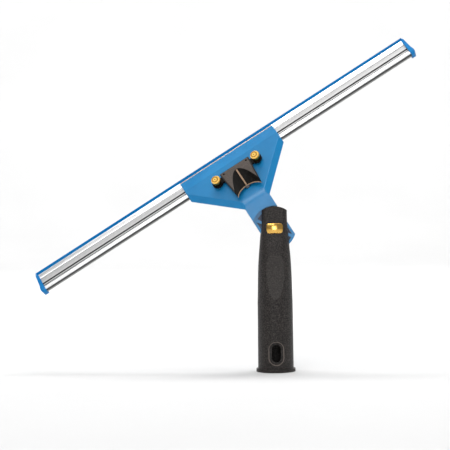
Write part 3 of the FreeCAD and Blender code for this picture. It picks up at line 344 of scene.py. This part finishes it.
def handle_plastic():
    """Black plastic with a coarse skin, a painted highlight in the thumb hollow and a pale line of
    painted highlight at the slot.
    """
    look = Look("spark_eroded_black", IOR=1.5, Specular_IOR_Level=0.22)
    speckle = look.noise(0.00085, 3, 0.65)
    skin = look.colour(speckle, HANDLE_BLACK, HANDLE_GREY, 0.42, 0.74)
    # painted highlight: the thumb hollow cut by the round cutter is made lighter
    from_axis = look.length(look.turned(HANDLE_AXES, THUMB_AXIS, (0, 1, 1)))
    hollow_highlight = look.between(from_axis, 0.35, 0, THUMB_RADIUS + 0.00005, THUMB_RADIUS + 0.00015)
    thumbed = look.mixed(skin, HANDLE_HOLLOW_HIGHLIGHT, hollow_highlight, "MIX")
    side, depth, height = (look.part_of(look.place, axis) for axis in range(3))
    past_middle = look.reckon("ABSOLUTE", look.reckon("SUBTRACT", height, SLOT_HEIGHT))
    past_end = look.reckon("MAXIMUM", look.reckon("SUBTRACT", past_middle, SLOT_STRAIGHT), 0)
    squares = look.reckon("ADD", look.reckon("POWER", look.reckon("ABSOLUTE", side), 2),
                          look.reckon("POWER", past_end, 2))
    from_middle = look.reckon("SQRT", squares)
    from_rim = look.reckon("ABSOLUTE", look.reckon("SUBTRACT", from_middle, RIM_RADIUS))
    line = look.between(from_rim, 1, 0, RIM_LINE / 2, RIM_LINE)
    # painted highlight: a pale line along the slot's rounded rim, on the front only
    at_rim = look.reckon("MULTIPLY", line, look.reckon("LESS_THAN", depth, 0))
    look.mixed(thumbed, HANDLE_RIM_HIGHLIGHT, at_rim, "MIX")
    look.roughness(look.noise(0.0012, 2), 0.36, 0.54)
    coarse = look.bump(look.cells(0.0011), 0.00012)
    look.bump(speckle, 0.00018, before=coarse)
    return look.material


# the channel's bands, as (distance down the slope from the blade's edge, shade as far as there),
# set against the photo's brightness across the channel
# the bright stretches are painted highlights and the dark ones painted shade in the profile's grooves and
# corners and under its lower edge
CHANNEL_LIGHT_AND_SHADE = (
    (0.0048, 0.95), (0.0057, 0.66), (0.0083, 0.95), (0.0091, 0.40), (0.0128, 0.72), (0.0136, 0.12),
    (0.0149, 0.80), (0.0160, 0.10), (0.0190, 1.0), (0.0199, 0.10), (0.0210, 0.40))
CHANNEL_DEPTH = 0.0215


def aluminium():
    """Bright extruded aluminium: die lines along it, painted bands of highlight and shade across it, and
    painted shade above the jaw's lip.
    """
    look = Look("drawn_aluminium", Metallic=1.0)
    lines = look.turned(JAW_AXES, stretch=(0.0008, 1, 1))
    fine = look.noise(0.0005, 2, 0.5, lines)
    broad = look.noise(0.0022, 2, 0.5, lines)
    metal = look.colour(broad, ALUMINIUM_DULL, ALUMINIUM, 0.25, 0.6)
    down = look.part_of(look.turned(JAW_AXES, EDGE), 2)
    # the metal multiplied by the painted bands of highlight and shade
    shaded = look.mixed(metal, look.shades(down, CHANNEL_DEPTH, CHANNEL_LIGHT_AND_SHADE))
    # painted shade: the channel's strip just above the head's lip, across the face's width, is darkened
    across = look.reckon("ABSOLUTE", look.part_of(look.turned(JAW_AXES, PIVOT), 0))
    beside_jaw = look.between(across, 1, 0, FACE_HALF_WIDTH, FACE_HALF_WIDTH + 2 * SOFT_EDGE)
    above_lip = look.between(down, 0, 1, -JAW_LIP - 0.0003, -JAW_LIP + 0.0001)
    look.mixed(shaded, JAW_SHADE, look.reckon("MULTIPLY", beside_jaw, above_lip))
    look.roughness(fine, 0.30, 0.42)
    look.bump(fine, 0.000002)
    return look.material


def lever_nylon():
    """Satin flats, a polished scoop and a border coloured with painted shade, and painted highlights on
    the ridge and the notch rim.
    """
    look = Look("lever_nylon", IOR=1.5)
    place = look.turned(LEVER_AXES, LEVER_TOP)
    depth = look.part_of(place, 1)
    aside = look.reckon("ABSOLUTE", look.part_of(place, 0))
    up = look.part_of(place, 2)
    satin = look.colour(look.noise(0.0008, 3, 0.6), LEVER_SATIN, LEVER_PALE)
    # painted shade: where the surface sinks below the flats, in the scoop, it is coloured near black
    in_scoop = look.between(depth, 0, 1, 0.00003, 0.00012)
    scooped = look.mixed(satin, LEVER_SHADE_BLACK, in_scoop, "MIX")
    narrowed = look.reckon("SUBTRACT", aside, look.reckon("MULTIPLY", up, LEVER_WIDENING))
    side_border, top_border = LEVER_HALF_WIDTH - BORDER_WIDTH, LEVER_UPPER - BORDER_WIDTH
    sides = look.between(narrowed, 0, 1, side_border, side_border + SOFT_EDGE)
    top = look.between(up, 0, 1, top_border, top_border + SOFT_EDGE)
    # painted shade: a dark border along the lever's sides and top edge
    shape = look.mixed(scooped, LEVER_SHADE_BLACK, look.reckon("MAXIMUM", sides, top), "MIX")
    # painted highlights: a pale line down the middle ridge below its top, and a pale rim round the notch
    on_ridge = look.between(aside, 1, 0, RIDGE_WIDTH / 2 - 0.0001, RIDGE_WIDTH / 2)
    ridge_highlight = look.reckon("MULTIPLY", on_ridge, look.between(up, 1, 0, RIDGE_TOP - 0.001, RIDGE_TOP))
    notch = LEVER_TOP - LEVER_AXES[2] * NOTCH_BELOW
    from_notch = look.length(look.turned(LEVER_AXES, notch, (1, 0, 1)))
    rim_end = NOTCH_RADIUS + NOTCH_RIM
    rim = look.between(from_notch, 1, 0, rim_end, rim_end + SOFT_EDGE)
    look.mixed(shape, LEVER_HIGHLIGHT, look.reckon("MAXIMUM", ridge_highlight, rim), "MIX")
    look.link(look.between(in_scoop, 0.48, 0.22, 0, 1), look.shader.inputs["Roughness"])
    look.link(look.between(in_scoop, 0.30, 0.10, 0, 1), look.shader.inputs["Specular IOR Level"])
    look.bump(look.noise(0.0006, 2, 0.6), 0.00002)
    return look.material


def turned_brass(name, centre, axes, spacing, roughness):
    """Brass with the fine rings that a lathe leaves around its axis."""
    look = Look(name, Metallic=1.0)
    place = look.turned(axes, centre)
    marks = look.rings(spacing, place)
    look.colour(marks, BRASS_DULL, BRASS, 0.1, 0.8)
    look.roughness(marks, roughness - 0.04, roughness + 0.04)
    look.bump(marks, 0.000012)
    return look.material


def plated(name, first, second, roughness, size):
    """Plated or bare steel with slow cloudy changes and a finely uneven surface."""
    look = Look(name, Metallic=1.0)
    look.colour(look.noise(size, 4, 0.6), first, second)
    look.roughness(look.noise(size / 3, 3), roughness - 0.08, roughness + 0.1)
    look.bump(look.noise(size / 6, 2), 0.00001)
    return look.material


def blade_rubber():
    """Smooth rubber with faint lines along the strip and a matt bloom."""
    look = Look("blue_rubber", IOR=1.5, Specular_IOR_Level=0.05)
    lines = look.turned(JAW_AXES, stretch=(0.03, 1, 1))
    look.colour(look.noise(0.0012, 2, 0.5, lines), BLADE_BLUE, BLADE_PALE)
    look.roughness(look.noise(0.003, 3), 0.40, 0.55)
    look.bump(look.noise(0.0007, 2, 0.5, lines), 0.00002)
    return look.material


def dress(material, *names, smooth=True):
    """Give CAD nodes a material, and smooth or flat shading."""
    for name in names:
        piece = nodes[name]
        for slot in piece.material_slots:
            slot.material = material
        for face in piece.data.polygons:
            face.use_smooth = smooth


dress(handle_plastic(), "handle_body")
dress(moulded("cover_nylon", COVER_BLACK, COVER_GREY, roughness=0.42, grain=0.0007, depth=0.00004),
      "swivel_cap")
dress(lever_nylon(), "release_lever")
dress(head_plastic(), "swivel_head")
dress(moulded("cap_moulding", CAP_BLUE, CAP_PALE, roughness=0.34, grain=0.0008, depth=0.00002, shine=0.2),
      "left_end_cap", "right_end_cap")
dress(blade_rubber(), "rubber_blade")
dress(aluminium(), "blade_channel", smooth=False)
for side in ("left", "right"):
    pin = f"{side}_release_pin"
    dress(turned_brass(f"{side}_pin_brass", middle(pin), JAW_AXES, spacing=0.0011, roughness=0.21), pin)
dress(turned_brass("button_brass", PIVOT, HANDLE_AXES, spacing=0.0005, roughness=0.13), "lock_button")
dress(plated("zinc_plate", ZINC_DULL, ZINC, roughness=0.32, size=0.004),
      "tongue_bushing", "lever_pivot_pin", "clamp_plate", "cap_screws")
dress(plated("spring_wire", SPRING_DULL, SPRING, roughness=0.30, size=0.002),
      "lock_spring", "lever_spring", "pin_clips")
dress(moulded("natural_nylon", NYLON_DULL, NYLON, roughness=0.45, grain=0.0008, depth=0.00003),
      "front_washer", "rear_washer")


# ---- springs ------------------------------------------------------------------------------------

def squeezed_spring(node, body):
    """A copy of a CAD spring, attached to the given body; the CAD one isn't shown."""
    coil = nodes[node].copy()
    coil.data = nodes[node].data.copy()
    coil.name = f"{node}_coil"
    coil.parent = None
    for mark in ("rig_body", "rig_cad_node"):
        del coil[mark]
    bpy.context.scene.collection.objects.link(coil)
    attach(coil, body)
    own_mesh(coil)
    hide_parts(node)


squeezed_spring("lock_spring", "handle")
squeezed_spring("lever_spring", "head")


# ---- studio -------------------------------------------------------------------------------------

def cyclorama(name, radius, curve, height, steps=16, sides=96):
    """A round floor that curves up into a wall all the way round, as one smooth sheet."""
    profile = [(radius * share, 0.0) for share in (0.1, 0.3, 0.6, 1.0)]
    for step in range(1, steps + 1):
        angle = math.pi / 2 * step / steps
        profile.append((radius + curve * math.sin(angle), curve - curve * math.cos(angle)))
    profile.append((radius + curve, height))
    points = [(0.0, 0.0, 0.0)]
    for out, up in profile:
        for side in range(sides):
            turn = 2 * math.pi * side / sides
            points.append((out * math.cos(turn), out * math.sin(turn), up))
    faces = []
    for side in range(sides):
        after = (side + 1) % sides
        faces.append((0, 1 + side, 1 + after))
        for row in range(len(profile) - 1):
            low, high = 1 + row * sides, 1 + (row + 1) * sides
            faces.append((low + side, high + side, high + after, low + after))
    mesh = bpy.data.meshes.new(name)
    mesh.from_pydata(points, [], faces)
    mesh.shade_smooth()
    made = bpy.data.objects.new(name, mesh)
    bpy.context.scene.collection.objects.link(made)
    return made


def paper():
    """Matt grey-white paper."""
    look = Look("studio_paper", Specular_IOR_Level=0.2)
    look.colour(look.noise(0.4, 2), PAPER, PAPER_PALE)
    look.roughness(look.noise(0.05, 2), 0.75, 0.85)
    return look.material


floor = cyclorama("floor", radius=2.4, curve=1.2, height=4.0)
floor.data.materials.append(paper())


def softbox(name, place, aim, width, height, power):
    """A white rectangular lamp at a place, turned to shine at another."""
    lamp = bpy.data.lights.new(name, "AREA")
    lamp.shape = "RECTANGLE"
    lamp.size = width
    lamp.size_y = height
    lamp.energy = power
    made = bpy.data.objects.new(name, lamp)
    bpy.context.scene.collection.objects.link(made)
    made.location = place
    made.rotation_euler = (Vector(aim) - Vector(place)).to_track_quat("-Z", "Y").to_euler()


# each lamp's place, aim, width, height and power in watts; the last two are aimed at the wall
MIDDLE = (0.0, 0.0, 0.14)
softbox("front_light", (-0.5, -1.65, 1.0), MIDDLE, 1.1, 0.6, 11)
softbox("crease_light", (-0.1, -1.15, 1.3), MIDDLE, 0.3, 0.3, 2.5)
softbox("sky_panel", (-0.95, -1.0, 1.65), MIDDLE, 1.5, 1.5, 4.6)
softbox("fill_light", (1.5, -0.7, 0.7), MIDDLE, 0.5, 1.2, 4.5)
softbox("catch_light", (0.02, -1.5, 0.16), PIVOT, 0.4, 0.3, 1.9)
softbox("top_light", (0.05, 0.12, 1.35), MIDDLE, 0.6, 0.4, 6)
softbox("backdrop_light", (0.0, 0.8, 2.6), (0.0, 3.2, 0.4), 3.5, 1.0, 140)
softbox("room_light", (0.0, -1.2, 3.2), (0.0, -3.4, 0.6), 3.5, 1.0, 22)

world = bpy.data.worlds.new("studio_world")
bpy.context.scene.world = world
world.use_nodes = True
background = world.node_tree.nodes["Background"]
background.inputs["Color"].default_value = (1, 1, 1, 1)
background.inputs["Strength"].default_value = 0.08
bpy.context.scene.view_settings.view_transform = "Standard"


# ---- camera -------------------------------------------------------------------------------------

CAMERA_DISTANCE = 1.0
CAMERA_LEFT = 0.0394
CAMERA_ABOVE_PIVOT = 0.0031
LENS_MM = 99.66
ROLL = math.radians(-0.75)

view = bpy.data.cameras.new("product_camera")
view.lens = LENS_MM
view.sensor_width = 36.0
camera = bpy.data.objects.new("product_camera", view)
bpy.context.scene.collection.objects.link(camera)
camera.location = (-CAMERA_LEFT, -CAMERA_DISTANCE, PIVOT.z + CAMERA_ABOVE_PIVOT)
forward = Matrix.Rotation(math.pi / 2, 3, "X")
camera.rotation_euler = (forward @ Matrix.Rotation(ROLL, 3, "Z")).to_euler()
bpy.context.scene.camera = camera
